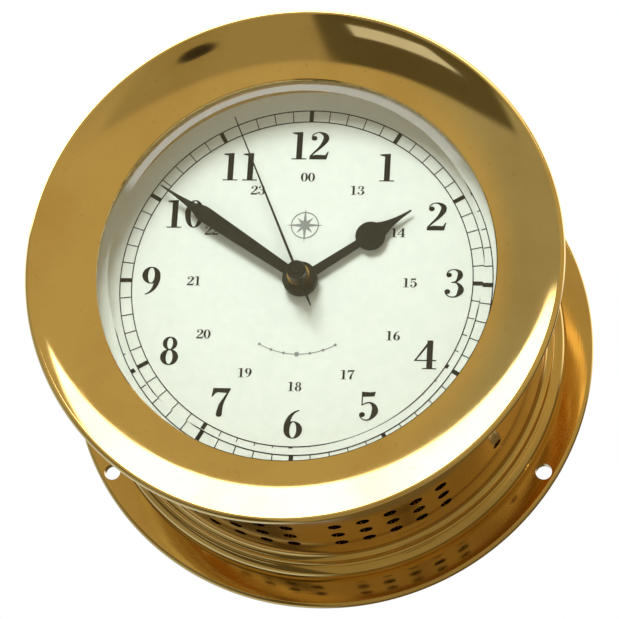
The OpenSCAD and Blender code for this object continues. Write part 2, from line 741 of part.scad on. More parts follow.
module movement_board() {
    color(board_green) stand() difference() {
        box([-13, 16, 44], [13, 26, 44.8]);
        for (x = [-10, 10])
            translate([x, 21, 43]) cylinder(r = 0.9, h = 3, $fn = 24);
    }
}
module crystal_can() {
    color(steel) stand() translate([-8, 21, 45.9]) rotate([0, 90, 0]) cylinder(r = 1.05, h = 6.2, $fn = 32);
}
module set_knob() {
    knob_r = 4.6;
    color(black_plastic) stand() translate([motion_at[0], motion_at[1], 0]) difference() {
        union() {
            translate([0, 0, 12]) cylinder(r = 2, h = shell_rear_z + 1 - 12, $fn = 48);
            translate([0, 0, 9.6]) linear_extrude(3.2) polygon([for (i = [0:47])
                (i % 2 == 0 ? knob_r : knob_r - 0.3) * [cos(7.5 * i), sin(7.5 * i)]]);
        }
        translate([0, 0, shell_rear_z]) cylinder(r = 0.5, h = 4, $fn = 32);
    }
}

// ---- Strike board and controls ----

module strike_board() {
    color(board_green) stand() difference() {
        box([-board_half_w, board_bottom, board_z], [board_half_w, board_top, board_front_z]);
        for (x = [-1, 1], p = [board_post, board_post_low])
            translate([x * p[0], p[1], board_z - 1]) cylinder(r = 1.1, h = 4, $fn = 24);
    }
}
module board_parts() {
    color(black_plastic) stand() union() {
        box([-14, -21, board_z + board_t], [-4, -7, board_front_z + 2.4]);
        box([12, -10, board_z + board_t], [18, -5, board_front_z + 1.8]);
        for (x = [6, 13, 20])
            translate([x, -17, board_front_z]) cylinder(r = 2.5, h = 5.5, $fn = 32);
        box([12, -22, board_z - 2.2], [19, -17, board_z]);
        for (x = [-17, -13, 9, 13])
            box([x, -6, board_z - 0.9], [x + 2, -4.8, board_z]);
    }
}
module board_screws() {
    color(steel) stand() for (x = [-1, 1], p = [board_post, board_post_low])
        translate([x * p[0], p[1], board_z]) mirror([0, 0, 1]) pan_screw(1, 6, 2);
}
module volume_pot() {
    color([0.15, 0.2, 0.3]) stand() difference() {
        box([-27.4, -17.5, 16.6], [-20, -6.5, board_z]);
        translate([-28, wheel_at[1], wheel_axis_z]) rotate([0, 90, 0]) cylinder(r = 1.06, h = 7, $fn = 32);
    }
}
module volume_wheel() {
    notches = 32;
    color(black_plastic) stand() along_x([wheel_at[0] - 2, wheel_at[1]], wheel_axis_z) union() {
        linear_extrude(4) polygon([for (i = [0:2 * notches - 1])
            (i % 2 == 0 ? volume_r : volume_r - 0.45) * [cos(180 * i / notches), sin(180 * i / notches)]]);
        translate([0, 0, 3]) cylinder(r = 1, h = 6, $fn = 32);
    }
}
module mode_switch_body() {
    color(steel) stand() difference() {
        box([slider_at[0] - 7, slider_at[1] - 3.2, 20.5], [slider_at[0] + 7, slider_at[1] + 3.2, board_z]);
        box([slider_at[0] - 4.8, slider_at[1] - 2, 20], [slider_at[0] + 4.8, slider_at[1] + 2, 25]);
    }
}
module mode_slider() {
    x = slider_at[0] - slider_travel / 2;
    color(black_plastic) stand() union() {
        box([x - 2.2, slider_at[1] - 1.7, 21.2], [x + 2.2, slider_at[1] + 1.7, 24.6]);
        box([x - 1.1, slider_at[1] - 1.3, 12.6], [x + 1.1, slider_at[1] + 1.3, 21.3]);
    }
}
module strike_button_body() {
    color(steel) stand() difference() {
        translate([button_at[0], button_at[1], 19.4]) cylinder(r = 5, h = board_z - 19.4, $fn = 64);
        translate([button_at[0], button_at[1], 18]) cylinder(r = 3.9, h = 10.6, $fn = 64);
    }
}
module strike_button() {
    color([0.65, 0.08, 0.06]) stand() translate([button_at[0], button_at[1], 0]) union() {
        translate([0, 0, 12.4]) cylinder(r = 2.6, h = 8, $fn = 48);
        translate([0, 0, 20.2]) cylinder(r = 3.5, h = 1.6, $fn = 48);
        translate([0, 0, 21.7]) cylinder(r = 1.2, h = 2.4, $fn = 32);
    }
}
module strike_button_spring() {
    color(steel) stand() translate([button_at[0], button_at[1], 21.95]) wire_spring(2.4, 2.4, 6.5, 5, 0.2);
}

// ---- Speaker ----

module face_down() {
    translate([0, speaker_y, speaker_z]) rotate([90, 0, 0]) children();
}
module speaker_bracket() {
    color(steel) stand() difference() {
        union() {
            box([-24, speaker_y - 1.6, back_z1 + 0.4], [24, speaker_y - 0.1, carrier_z]);
            box([-24, speaker_y - 0.2, carrier_z - 1.5], [24, speaker_y + 11, carrier_z]);
        }
        face_down() translate([0, 0, -2]) cylinder(r = 15, h = 6, $fn = smooth);
        for (a = [45:90:315])
            face_down() rotate([0, 0, a]) translate([speaker_bolt_r, 0, -2])
                cylinder(r = 0.85, h = 5, $fn = 24);
    }
}
module speaker_basket() {
    color([0.25, 0.25, 0.26]) stand() face_down() difference() {
        union() {
            rotate_extrude($fn = smooth) polygon([[14.8, -1.2], [14.8, 0.05], [speaker_r, 0.05],
                [speaker_r, -1.2], [12, -9.8], [5.6, -9.8], [5.6, -9.2], [11.6, -9.2]]);
            for (a = [45:90:315])
                rotate([0, 0, a]) translate([speaker_bolt_r, 0, -1.1]) cylinder(r = 3, h = 1.15, $fn = 32);
        }
        for (a = [45:90:315])
            rotate([0, 0, a]) translate([speaker_bolt_r, 0, -3]) cylinder(r = 0.85, h = 5, $fn = 24);
        for (a = [0:90:270])
            rotate([0, 0, a]) box([11, -5, -8.2], [22, 5, -2.4]);
        translate([0, 0, -1.25]) cylinder(r = 14.8, h = 3, $fn = smooth);
    }
}
module speaker_magnet() {
    color([0.2, 0.2, 0.2]) stand() face_down() union() {
        difference() {
            translate([0, 0, -15.2]) cylinder(r = 12, h = 5.4, $fn = smooth);
            translate([0, 0, -13.9]) cylinder(r = 5.7, h = 8, $fn = smooth);
        }
        translate([0, 0, -14.2]) cylinder(r = 4.5, h = 4.9, $fn = 64);
    }
}
module speaker_surround() {
    color(black_plastic) stand() face_down() rotate_extrude($fn = smooth)
        polygon(concat(arc([13.95, -0.5], 0.8, 180, 0, 10), arc([13.95, -0.5], 0.5, 0, 180, 10)));
}
module speaker_cone() {
    color([0.3, 0.3, 0.28]) stand() face_down() union() {
        rotate_extrude($fn = smooth) polygon([[13.1, -0.5], [5.0, -7.0], [4.9, -12.8], [5.2, -12.8],
            [5.3, -7.4], [13.1, -1.0]]);
        rotate_extrude($fn = smooth) polygon(concat(
            arc([0, -9.6], 6.2, 24, 90, 10), arc([0, -9.6], 5.8, 90, 24, 10)));
    }
}
module speaker_screws() {
    color(steel) stand() face_down() for (a = [45:90:315])
        rotate([0, 0, a]) translate([speaker_bolt_r, 0, 1.6]) pan_screw(0.85, 4, 1.6);
}

// ---- Batteries, back plate and door ----

module battery_holder() {
    color(black_plastic) stand() difference() {
        box([-holder_half_w, holder_y0, back_z1], [holder_half_w, holder_y1, holder_z1]);
        for (y = cell_ys) {
            box([-27.2, y - 7.3, back_z1 - 1], [27.2, y + 7.3, cell_z]);
            translate([-27.2, y, cell_z]) rotate([0, 90, 0]) cylinder(r = 7.3, h = 54.4, $fn = 64);
        }
    }
}
module battery_springs() {
    color(steel) stand() for (i = [0:1])
        mirror([i, 0, 0]) translate([26.7, cell_ys[i], cell_z]) rotate([0, -90, 0])
            wire_spring(3.6, 2.2, 1.65, 3, 0.24);
}
module battery_contacts() {
    color(steel) stand() for (y = cell_ys, x = [-27.2, 26.7])
        translate([x, y - 4.5, cell_z - 5]) cube([0.5, 9, 9.5]);
}
module batteries() {
    color([0.75, 0.55, 0.2]) stand() for (i = [0:1])
        mirror([i, 0, 0]) translate([-26.6, cell_ys[i], cell_z]) rotate([0, 90, 0]) union() {
            cylinder(r = 2.7, h = 1.5, $fn = 48);
            translate([0, 0, 1.3]) cylinder(r = cell_r, h = cell_len, $fn = 96);
        }
}
module back_plate() {
    color(black_plastic) stand() difference() {
        union() {
            translate([0, 0, back_z0]) cylinder(r = 54.2, h = back_z1 - back_z0, $fn = smooth);
            for (x = [-26, 20.6])
                translate([x, hinge_at[0], hinge_at[1]]) difference() {
                    union() {
                        translate([0, -1.6, 0]) cube([5.4, 3.2, 2.6]);
                        rotate([0, 90, 0]) cylinder(r = 1.6, h = 5.4, $fn = 48);
                    }
                    translate([-1, 0, 0]) rotate([0, 90, 0]) cylinder(r = 0.8, h = 8, $fn = 32);
                }
        }
        box([-27.2, holder_y0 + 0.6, back_z0 - 1], [27.2, holder_y1 - 0.6, back_z1 + 1]);
        translate([motion_at[0], motion_at[1], back_z0 - 1]) cylinder(r = 5, h = 4, $fn = 64);
        translate([wheel_at[0] - 2.6, wheel_at[1] - 7.6, back_z0 - 1]) cube([5.2, 15.2, 4]);
        translate([slider_at[0] - 3.8, slider_at[1] - 1.9, back_z0 - 1]) cube([7.6, 3.8, 4]);
        translate([button_at[0], button_at[1], back_z0 - 1]) cylinder(r = 3.1, h = 4, $fn = 48);
        for (p = plate_posts)
            translate([p[0], p[1], back_z0 - 1]) cylinder(r = 1.1, h = 4, $fn = 24);
        for (i = [-4:4])
            box([i * 5 - 1.1, -44, back_z0 - 1], [i * 5 + 1.1, -30, back_z1 + 1]);
    }
}
module back_plate_screws() {
    color(steel) stand() for (p = plate_posts)
        translate([p[0], p[1], back_z0]) mirror([0, 0, 1]) pan_screw(1, 9, 2.2);
}
module battery_door() {
    z0 = hinge_at[1];
    z1 = back_z0 - 0.3;
    color(black_plastic) stand() difference() {
        union() {
            translate([0, 0, z0]) linear_extrude(z1 - z0)
                polygon([[-door_half_w, hinge_at[0] + 2.1], [door_half_w, hinge_at[0] + 2.1],
                    [door_half_w, door_top - 1], [door_half_w - 1, door_top],
                    [1 - door_half_w, door_top], [-door_half_w, door_top - 1]]);
            for (x = [-20, 8])
                translate([x, hinge_at[0], 0]) union() {
                    box([0, 0, z0], [12, 3, z1 - 0.3]);
                    translate([0, 0, hinge_at[1]]) rotate([0, 90, 0]) cylinder(r = 1.6, h = 12, $fn = 48);
                }
            for (i = [0:3])
                box([-8, 38 + 1.7 * i, z0 - 0.5], [8, 38.8 + 1.7 * i, z0 + 0.1]);
        }
        translate([-30, hinge_at[0], hinge_at[1]]) rotate([0, 90, 0]) cylinder(r = 0.85, h = 60, $fn = 32);
    }
}
module door_pins() {
    color(steel) stand() for (x = [-26, 8])
        translate([x, hinge_at[0], hinge_at[1]]) rotate([0, 90, 0]) cylinder(r = 0.8, h = 18, $fn = 32);
}

case_body();
case_screws();
bezel_ring();
liner();
liner_o_ring();
crystal();
crystal_gasket();
crystal_retainer();
dial_ring();
dial();
minute_track();
hour_numerals();
day_numerals();
dial_ornament();
hour_hand();
minute_hand();
second_hand();
hand_nut();
carrier_plate();
movement_front();
movement_rear();
movement_bushing();
bushing_nut();
hour_wheel();
centre_wheel();
seconds_wheel();
third_wheel();
motion_wheel();
fifth_wheel();
rotor();
stator();
coil_bobbin();
coil_winding();
movement_board();
crystal_can();
set_knob();
strike_board();
board_parts();
board_screws();
volume_pot();
volume_wheel();
mode_switch_body();
mode_slider();
strike_button_body();
strike_button();
strike_button_spring();
speaker_bracket();
speaker_basket();
speaker_magnet();
speaker_surround();
speaker_cone();
speaker_screws();
battery_holder();
battery_springs();
battery_contacts();
batteries();
back_plate();
back_plate_screws();
battery_door();
door_pins();
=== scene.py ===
"""Bulkhead ship's bell clock: looks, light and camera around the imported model."""

import json
import math

import bpy
from mathutils import Matrix, Vector


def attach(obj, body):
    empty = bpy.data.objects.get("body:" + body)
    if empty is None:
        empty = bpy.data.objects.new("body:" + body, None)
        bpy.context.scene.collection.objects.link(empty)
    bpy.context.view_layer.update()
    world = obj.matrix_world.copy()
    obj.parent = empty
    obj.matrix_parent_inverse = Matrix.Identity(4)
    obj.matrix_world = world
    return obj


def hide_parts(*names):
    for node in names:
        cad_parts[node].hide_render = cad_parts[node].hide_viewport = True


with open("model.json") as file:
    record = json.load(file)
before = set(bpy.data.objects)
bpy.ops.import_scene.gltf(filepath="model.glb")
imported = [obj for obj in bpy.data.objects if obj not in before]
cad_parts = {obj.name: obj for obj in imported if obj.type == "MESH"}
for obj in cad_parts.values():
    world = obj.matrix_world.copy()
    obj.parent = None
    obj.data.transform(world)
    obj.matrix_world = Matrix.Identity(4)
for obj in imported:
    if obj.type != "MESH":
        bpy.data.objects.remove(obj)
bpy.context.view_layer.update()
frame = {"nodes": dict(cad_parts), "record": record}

MM = 0.001
CASE_SEGMENTS = 512
BEZEL_SEGMENTS = 720
CUTTER_SEGMENTS = 48
SMOOTH_ANGLE = math.radians(30)


# ---- shapes ----


def arc(centre, radius, start, end, steps=24):
    """Points along an arc, angles in degrees."""
    angles = [math.radians(start + (end - start) * i / steps) for i in range(steps + 1)]
    return [(centre[0] + radius * math.cos(a), centre[1] + radius * math.sin(a)) for a in angles]


def bend(start, pull, end, steps=24):
    """Points along a curve with one control point."""
    ts = [i / steps for i in range(steps + 1)]
    return [
        tuple((1 - t) ** 2 * p + 2 * t * (1 - t) * q + t * t * s for p, q, s in zip(start, pull, end))
        for t in ts
    ]


def split(points, longest=2.0):
    """Adds points along the long straight runs of a closed outline."""
    out = []
    for a, b in zip(points, points[1:] + points[:1]):
        count = max(1, math.ceil(math.dist(a, b) / longest))
        out += [(a[0] + (b[0] - a[0]) * i / count, a[1] + (b[1] - a[1]) * i / count) for i in range(count)]
    return out


def place(radius, height, angle):
    """A point at this radius, clock angle in radians and height from the wall, in the frame's metres."""
    return Vector((radius * math.sin(angle), -height, radius * math.cos(angle))) * MM


def lathe(name, outline, segments):
    """Turns a closed outline of (radius, height from the wall) in mm around the clock's axis."""
    count = len(outline)
    points = [place(r, z, 2 * math.pi * k / segments) for k in range(segments) for r, z in outline]
    faces = [
        (k * count + i, k * count + j, m * count + j, m * count + i)
        for k in range(segments)
        for m in [(k + 1) % segments]
        for i in range(count)
        for j in [(i + 1) % count]
    ]
    mesh = bpy.data.meshes.new(name)
    mesh.from_pydata(points, [], faces)
    mesh.update()
    piece = bpy.data.objects.new(name, mesh)
    bpy.context.scene.collection.objects.link(piece)
    shade(piece)
    return piece


def shade(piece):
    """Smooth shading, kept sharp at real edges."""
    mesh = piece.data
    mesh.polygons.foreach_set("use_smooth", [True] * len(mesh.polygons))
    mesh.set_sharp_from_angle(angle=SMOOTH_ANGLE)


def drill(piece, holes):
    """Cuts round holes: each is (start, end, radius) in metres."""
    cutters = []
    for start, end, radius in holes:
        along = end - start
        bpy.ops.mesh.primitive_cylinder_add(vertices=CUTTER_SEGMENTS, radius=radius, depth=along.length)
        cutter = bpy.context.object
        turn = along.to_track_quat("Z", "Y").to_matrix().to_4x4()
        cutter.matrix_world = Matrix.Translation((start + end) / 2) @ turn
        cutters.append(cutter)
    bpy.ops.object.select_all(action="DESELECT")
    for cutter in cutters:
        cutter.select_set(True)
    bpy.context.view_layer.objects.active = cutters[0]
    bpy.ops.object.join()
    tool = cutters[0]
    cut = piece.modifiers.new("holes", "BOOLEAN")
    cut.operation = "DIFFERENCE"
    cut.solver = "EXACT"
    cut.object = tool
    bpy.ops.object.select_all(action="DESELECT")
    piece.select_set(True)
    bpy.context.view_layer.objects.active = piece
    bpy.ops.object.modifier_apply(modifier=cut.name)
    bpy.data.objects.remove(tool)
    shade(piece)


# ---- materials, noise scales per metre ----

TARNISH_SCALE = 38.0
FRECKLE_SCALE = 900.0
HAZE_SCALE = 75.0
SMEAR_SCALE = 60.0
GLASS_TINT = (0.97, 0.99, 0.975)
GLASS_SHADE = (0.93, 0.95, 0.94)
GLASS_IOR = 1.51


def add(tree, kind, **values):
    """Adds a node; values name its sockets (spaces as underscores) or its properties."""
    node = tree.nodes.new(kind)
    for key, value in values.items():
        socket = node.inputs.get(key.replace("_", " "))
        if socket is None:
            setattr(node, key, value)
        else:
            socket.default_value = value
    return node


def blank(name):
    """A new material with only a principled shader in it."""
    material = bpy.data.materials.new(name)
    material.use_nodes = True
    tree = material.node_tree
    tree.nodes.clear()
    output = add(tree, "ShaderNodeOutputMaterial")
    shader = add(tree, "ShaderNodeBsdfPrincipled")
    tree.links.new(shader.outputs[0], output.inputs[0])
    return material, tree, shader, output


def rgba(colour):
    return (*colour, 1.0)


def noise(tree, source, scale, detail=4.0, roughness=0.55):
    node = add(tree, "ShaderNodeTexNoise", Scale=scale, Detail=detail, Roughness=roughness)
    tree.links.new(source, node.inputs["Vector"])
    return node.outputs["Fac"]


def fade(tree, factor, low, high, start, end):
    """Maps factor from low..high to start..end."""
    node = tree.nodes.new("ShaderNodeMapRange")
    for key, value in (("From Min", low), ("From Max", high), ("To Min", start), ("To Max", end)):
        node.inputs[key].default_value = value
    tree.links.new(factor, node.inputs["Value"])
    return node.outputs[0]


def blend(tree, factor, first, second):
    """Mixes two colours, each a plain colour or a socket."""
    node = tree.nodes.new("ShaderNodeMix")
    node.data_type = "RGBA"
    first_colour, second_colour, mixed = node.inputs[6], node.inputs[7], node.outputs[2]
    for socket, value in ((first_colour, first), (second_colour, second)):
        if hasattr(value, "links"):
            tree.links.new(value, socket)
        else:
            socket.default_value = rgba(value)
    tree.links.new(factor, node.inputs[0])
    return mixed


def relief(tree, shader, height, depth):
    """Bumps the surface by up to depth, in metres."""
    node = add(tree, "ShaderNodeBump", Strength=1.0, Distance=depth)
    tree.links.new(height, node.inputs["Height"])
    tree.links.new(node.outputs[0], shader.inputs["Normal"])


def lathe_lines(tree, position, pitch):
    """Fine concentric tool marks around the clock's axis."""
    apart = tree.nodes.new("ShaderNodeSeparateXYZ")
    tree.links.new(position, apart.inputs[0])
    squares = []
    for axis in ("X", "Z"):
        square = add(tree, "ShaderNodeMath", operation="POWER")
        square.inputs[1].default_value = 2.0
        tree.links.new(apart.outputs[axis], square.inputs[0])
        squares.append(square.outputs[0])
    total = add(tree, "ShaderNodeMath", operation="ADD")
    tree.links.new(squares[0], total.inputs[0])
    tree.links.new(squares[1], total.inputs[1])
    root = add(tree, "ShaderNodeMath", operation="SQRT")
    tree.links.new(total.outputs[0], root.inputs[0])
    sweep = add(tree, "ShaderNodeMath", operation="ADD")
    tree.links.new(root.outputs[0], sweep.inputs[0])
    tree.links.new(apart.outputs["Y"], sweep.inputs[1])
    lines = add(tree, "ShaderNodeTexNoise", noise_dimensions="1D", Scale=1.0 / pitch, Detail=2.0)
    tree.links.new(sweep.outputs[0], lines.inputs["W"])
    return lines.outputs["Fac"]


def brass(name, bright, dull, gloss, line_depth, pitch=0.0004):
    """Polished metal: faint tarnish, dark freckles, uneven haze and lathe lines, pitch in metres."""
    material, tree, shader, _ = blank(name)
    position = add(tree, "ShaderNodeTexCoord").outputs["Object"]
    patches = fade(tree, noise(tree, position, TARNISH_SCALE), 0.42, 0.72, 0.0, 1.0)
    freckles = fade(tree, noise(tree, position, FRECKLE_SCALE, 2.0), 0.66, 0.8, 0.0, 0.5)
    colour = blend(tree, patches, bright, dull)
    colour = blend(tree, freckles, colour, [0.7 * c for c in dull])
    tree.links.new(colour, shader.inputs["Base Color"])
    shader.inputs["Metallic"].default_value = 1.0
    haze = fade(tree, noise(tree, position, HAZE_SCALE, 6.0), 0.35, 0.75, gloss, gloss * 1.9 + 0.02)
    tree.links.new(haze, shader.inputs["Roughness"])
    relief(tree, shader, lathe_lines(tree, position, pitch), line_depth)
    return material


def plain(name, colour, second, gloss, metal=0.0, grain=600.0, depth=0.00002, coat=0.0, mirror=0.5):
    """Any other finish: two close colours in a noise, and a fine grain of this scale and depth."""
    material, tree, shader, _ = blank(name)
    position = add(tree, "ShaderNodeTexCoord").outputs["Object"]
    patches = fade(tree, noise(tree, position, grain * 0.2), 0.35, 0.65, 0.0, 1.0)
    tree.links.new(blend(tree, patches, colour, second), shader.inputs["Base Color"])
    shader.inputs["Metallic"].default_value = metal
    shader.inputs["Coat Weight"].default_value = coat
    shader.inputs["Specular IOR Level"].default_value = mirror
    tree.links.new(fade(tree, patches, 0.0, 1.0, gloss, min(1.0, gloss * 1.25)), shader.inputs["Roughness"])
    relief(tree, shader, noise(tree, position, grain, 3.0), depth)
    return material


def glass(name):
    """Clear glass that lets lamps through to what is behind it."""
    material, tree, shader, output = blank(name)
    position = add(tree, "ShaderNodeTexCoord").outputs["Object"]
    smear = fade(tree, noise(tree, position, SMEAR_SCALE, 5.0), 0.5, 0.8, 0.0, 0.02)
    tree.links.new(smear, shader.inputs["Roughness"])
    shader.inputs["Base Color"].default_value = rgba(GLASS_TINT)
    shader.inputs["Transmission Weight"].default_value = 1.0
    shader.inputs["IOR"].default_value = GLASS_IOR
    path = add(tree, "ShaderNodeLightPath")
    clear = add(tree, "ShaderNodeBsdfTransparent")
    clear.inputs[0].default_value = rgba(GLASS_SHADE)
    mix = add(tree, "ShaderNodeMixShader")
    tree.links.new(path.outputs["Is Shadow Ray"], mix.inputs[0])
    tree.links.new(shader.outputs[0], mix.inputs[1])
    tree.links.new(clear.outputs[0], mix.inputs[2])
    tree.links.new(mix.outputs[0], output.inputs[0])
    return material


BRIGHT = (0.88, 0.63, 0.25)
DULL = (0.78, 0.53, 0.19)
CASE_BRIGHT = (0.74, 0.50, 0.17)
CASE_DULL = (0.64, 0.41, 0.13)
MATERIALS = {
    "case_brass": brass("case_brass", CASE_BRIGHT, CASE_DULL, 0.06, 0.000002),
    "bezel_brass": brass("bezel_brass", BRIGHT, DULL, 0.045, 0.0000012),
    "screw_brass": brass("screw_brass", (0.16, 0.09, 0.04), (0.10, 0.06, 0.03), 0.35, 0.00001),
    "liner_brass": brass("liner_brass", DULL, (0.55, 0.36, 0.12), 0.25, 0.00003),
    "dial_ring_brass": brass("dial_ring_brass", (0.80, 0.55, 0.20), DULL, 0.22, 0.00002),
    "nut_brass": brass("nut_brass", BRIGHT, DULL, 0.12, 0.000004),
    "wheel_brass": brass("wheel_brass", BRIGHT, DULL, 0.2, 0.00001),
    "crystal_glass": glass("crystal_glass"),
    "dial_enamel": plain(
        "dial_enamel", (0.84, 0.87, 0.84), (0.80, 0.84, 0.81), 0.5, grain=2400.0, depth=0.000004
    ),
    "dial_ink": plain("dial_ink", (0.006, 0.006, 0.006), (0.01, 0.01, 0.01), 0.5, mirror=0.2),
    "ornament_ink": plain("ornament_ink", (0.22, 0.23, 0.23), (0.28, 0.29, 0.29), 0.5),
    "hand_black": plain(
        "hand_black",
        (0.007, 0.008, 0.008),
        (0.012, 0.013, 0.012),
        0.3,
        grain=1800.0,
        depth=0.000004,
        mirror=0.3,
    ),
    "seal_rubber": plain("seal_rubber", (0.02, 0.02, 0.02), (0.03, 0.03, 0.03), 0.75),
    "black_plastic": plain(
        "black_plastic", (0.022, 0.022, 0.024), (0.03, 0.03, 0.032), 0.48, grain=2600.0, depth=0.00003
    ),
    "knob_plastic": plain("knob_plastic", (0.035, 0.035, 0.038), (0.05, 0.05, 0.052), 0.4, grain=2600.0),
    "white_plastic": plain("white_plastic", (0.78, 0.76, 0.70), (0.72, 0.70, 0.64), 0.35),
    "red_plastic": plain("red_plastic", (0.52, 0.03, 0.02), (0.42, 0.02, 0.015), 0.28, coat=0.3),
    "component_black": plain("component_black", (0.025, 0.025, 0.027), (0.04, 0.04, 0.04), 0.4),
    "component_blue": plain("component_blue", (0.03, 0.08, 0.22), (0.02, 0.06, 0.17), 0.3),
    "board_green": plain(
        "board_green", (0.012, 0.12, 0.045), (0.02, 0.17, 0.07), 0.3, grain=900.0, coat=0.2
    ),
    "plated_steel": plain(
        "plated_steel", (0.62, 0.63, 0.65), (0.50, 0.51, 0.53), 0.22, 1.0, grain=1200.0, depth=0.000006
    ),
    "speaker_steel": plain("speaker_steel", (0.03, 0.03, 0.032), (0.05, 0.05, 0.05), 0.35),
    "magnet_grey": plain("magnet_grey", (0.07, 0.07, 0.075), (0.11, 0.11, 0.115), 0.5, 0.3),
    "copper_wire": plain(
        "copper_wire", (0.52, 0.16, 0.05), (0.40, 0.11, 0.03), 0.3, 0.6, grain=3000.0, depth=0.00004
    ),
    "cone_paper": plain(
        "cone_paper", (0.035, 0.032, 0.03), (0.06, 0.055, 0.05), 0.9, grain=1500.0, depth=0.00006
    ),
    "cell_foil": plain("cell_foil", (0.58, 0.33, 0.07), (0.50, 0.27, 0.05), 0.25, 0.6),
}


def dress_frame():
    """Gives every CAD piece the material of its slot in the record."""
    slots = {part["node"]: part["material_slot"] for part in frame["record"]["subparts"]}
    for node, piece in frame["nodes"].items():
        for slot in piece.material_slots:
            slot.material = MATERIALS[slots[node]]


# ---- turned brass, with the CAD's outlines in finer facets, in millimetres ----

FLANGE_R = 69.85
FLANGE_T = 2.4
FLANGE_ROUND = 1.1
DRUM_R = 58.0
CASE_LEN = 54.3
BORE_R = 56.3
LIP_R = 54.6
BEAD_C = (60.1, 5.0)
BEAD_R = 2.7
COVE_R = 1.8
SMALL_COVE_R = 0.8
COVE_Z = 11.3
STEP = 1
SHOULDER = 2.6
BEAD_END = 80
CHAMFER = 0.4
SCREW_CIRCLE_R = 66.3
SCREW_HOLE_R = 2.15
FLANGE_TURN = 1.1
SCREW_HOLES = 3
VENT_R = 1.75
VENT_Z = 28.1
VENT_COLUMNS = 5
VENT_ROW = 7.1
VENT_PITCH = 7.15
VENT_GAP = 12.2
VENT_TURN = 2.5
LOCK_SCREWS = 3
LOCK_ANGLE = 124
LOCK_Z = 27.8
LOCK_HOLE_R = 1.5
FLANGE_CUT = (-1, 4)
DRUM_CUT = (54, 60)


def case_outline():
    return (
        [(LIP_R, 0)]
        + arc((FLANGE_R - FLANGE_ROUND, FLANGE_ROUND), FLANGE_ROUND, -90, 0)
        + arc((FLANGE_R - FLANGE_ROUND, FLANGE_T - FLANGE_ROUND), FLANGE_ROUND, 0, 90)
        + arc(BEAD_C, BEAD_R, math.degrees(math.asin((FLANGE_T - BEAD_C[1]) / BEAD_R)), BEAD_END, 48)
        + arc((DRUM_R + SHOULDER, COVE_Z - COVE_R - STEP), SMALL_COVE_R, -90, -180)
        + arc((DRUM_R + COVE_R, COVE_Z), COVE_R, -90, -180)
        + [(DRUM_R, CASE_LEN - CHAMFER), (DRUM_R - CHAMFER, CASE_LEN), (BORE_R, CASE_LEN)]
        + [(BORE_R, FLANGE_T), (LIP_R, FLANGE_T)]
    )


def flange_hole(angle):
    turn = math.radians(angle - FLANGE_TURN)
    start, end = (place(SCREW_CIRCLE_R, height, turn) for height in FLANGE_CUT)
    return start, end, SCREW_HOLE_R * MM


def radial_hole(angle, height, radius):
    turn = math.radians(angle)
    start, end = (place(reach, height, turn) for reach in DRUM_CUT)
    return start, end, radius * MM


def case_holes():
    """Flange holes, two groups of sound holes under the drum, and the grub-screw holes."""
    holes = [flange_hole(360 / SCREW_HOLES * i) for i in range(SCREW_HOLES)]
    for side in (-1, 1):
        for column in range(VENT_COLUMNS):
            for row in (-1, 0, 1):
                angle = 180 - VENT_TURN + side * (VENT_GAP / 2 + column * VENT_PITCH)
                holes.append(radial_hole(angle, VENT_Z + row * VENT_ROW, VENT_R))
    for i in range(LOCK_SCREWS):
        holes.append(radial_hole(LOCK_ANGLE + 360 / LOCK_SCREWS * i, LOCK_Z, LOCK_HOLE_R))
    return holes


def turned_case():
    piece = lathe("case_turned", split(case_outline()), CASE_SEGMENTS)
    drill(piece, case_holes())
    piece.data.materials.clear()
    piece.data.materials.append(MATERIALS["case_brass"])
    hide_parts("case_body")
    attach(piece, "case")


BEZEL_R = 67.55
OPENING_R = 50.3
FACE_START_R = 50.55
FACE_Z = 69.95
HOLLOW_R = 46.0
RIM_R = 1.0
INNER_TILT = 7.0
COLLAR_R = 60.2
COLLAR_Z = 54.6
NECK_Z = 63
UNDERCUT = 3.1
OPENING_ROUND = 0.25
LINER_R = 56.0
LINER_TOP = 63.5
POCKET_R = 53.0
GLASS_LAND_Z = 68.9


def bezel_outline():
    """A hollow face from the glass out to a thin rolled rim, then the undercut and the collar."""
    inner = math.radians(INNER_TILT)
    reach = BEZEL_R - RIM_R - FACE_START_R + HOLLOW_R * math.sin(inner)
    outer = math.asin(reach / (HOLLOW_R + RIM_R))
    outer_tilt = math.degrees(outer)
    face = (FACE_START_R - HOLLOW_R * math.sin(inner), FACE_Z + HOLLOW_R * math.cos(inner))
    rim = (BEZEL_R - RIM_R, face[1] - (HOLLOW_R + RIM_R) * math.cos(outer))
    return (
        [(OPENING_R, GLASS_LAND_Z), (OPENING_R, FACE_Z - OPENING_ROUND)]
        + arc(face, HOLLOW_R, INNER_TILT - 90, outer_tilt - 90, 60)
        + arc(rim, RIM_R, 88 + outer_tilt, -60, 40)
        + bend((rim[0] + 0.4, rim[1] - 1.1), (COLLAR_R + 1, rim[1] - UNDERCUT), (COLLAR_R, NECK_Z), 40)
        + [(COLLAR_R, COLLAR_Z + CHAMFER), (COLLAR_R - CHAMFER, COLLAR_Z), (LINER_R, COLLAR_Z)]
        + [(LINER_R, LINER_TOP), (POCKET_R, LINER_TOP), (POCKET_R, GLASS_LAND_Z)]
    )


def turned_bezel():
    outwards = bezel_outline()[::-1]
    piece = lathe("bezel_turned", split(outwards), BEZEL_SEGMENTS)
    piece.data.materials.append(MATERIALS["bezel_brass"])
    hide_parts("bezel_ring")
    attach(piece, "front")


# ---- studio, in metres ----

